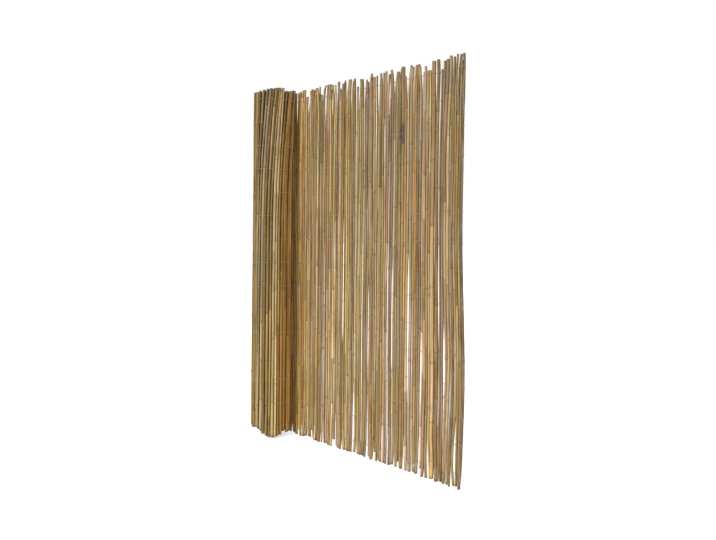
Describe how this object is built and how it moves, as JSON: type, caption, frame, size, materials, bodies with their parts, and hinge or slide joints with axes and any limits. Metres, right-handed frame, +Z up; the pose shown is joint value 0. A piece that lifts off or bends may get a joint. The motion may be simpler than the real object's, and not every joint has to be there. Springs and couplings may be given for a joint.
{
  "type": "bamboo fence panel",
  "caption": "Bamboo fence mat of thin round canes tied in rows with wire, standing upright with one end still rolled up and the rest unrolled flat.",
  "frame": {"origin": "on the ground in the middle of the footprint", "axes": "+Z up along the canes; +X along the unrolled sheet from the roll to the free edge; the roll lies on the -Y side of the sheet"},
  "size_m": [1.1006, 0.1838, 1.5],
  "materials": {
    "bamboo_cane": "satin",
    "rolled_bamboo": "satin",
    "tie_wire": "satin"
  },
  "bodies": {
    "root": {"cane_01": "bamboo_cane", "cane_02": "bamboo_cane", "cane_03": "bamboo_cane", "cane_04": "bamboo_cane", "cane_05": "bamboo_cane", "cane_06": "bamboo_cane", "cane_07": "bamboo_cane", "cane_08": "bamboo_cane", "cane_09": "bamboo_cane", "cane_10": "bamboo_cane", "cane_11": "bamboo_cane", "cane_12": "bamboo_cane", "cane_13": "bamboo_cane", "cane_14": "bamboo_cane", "cane_15": "bamboo_cane", "cane_16": "bamboo_cane", "cane_17": "bamboo_cane", "cane_18": "bamboo_cane", "cane_19": "bamboo_cane", "cane_20": "bamboo_cane", "cane_21": "bamboo_cane", "cane_22": "bamboo_cane", "cane_23": "bamboo_cane", "cane_24": "bamboo_cane", "cane_25": "bamboo_cane", "cane_26": "bamboo_cane", "cane_27": "bamboo_cane", "cane_28": "bamboo_cane", "cane_29": "bamboo_cane", "cane_30": "bamboo_cane", "cane_31": "bamboo_cane", "cane_32": "bamboo_cane", "cane_33": "bamboo_cane", "cane_34": "bamboo_cane", "cane_35": "bamboo_cane", "cane_36": "bamboo_cane", "cane_37": "bamboo_cane", "cane_38": "bamboo_cane", "cane_39": "bamboo_cane", "cane_40": "bamboo_cane", "cane_41": "bamboo_cane", "cane_42": "bamboo_cane", "cane_43": "bamboo_cane", "cane_44": "bamboo_cane", "cane_45": "bamboo_cane", "cane_46": "bamboo_cane", "cane_47": "bamboo_cane", "cane_48": "bamboo_cane", "cane_49": "bamboo_cane", "cane_50": "bamboo_cane", "cane_51": "bamboo_cane", "cane_52": "bamboo_cane", "cane_53": "bamboo_cane", "cane_54": "bamboo_cane", "rolled_canes": "rolled_bamboo", "tie_wires": "tie_wire"}
  },
  "joints": []
}
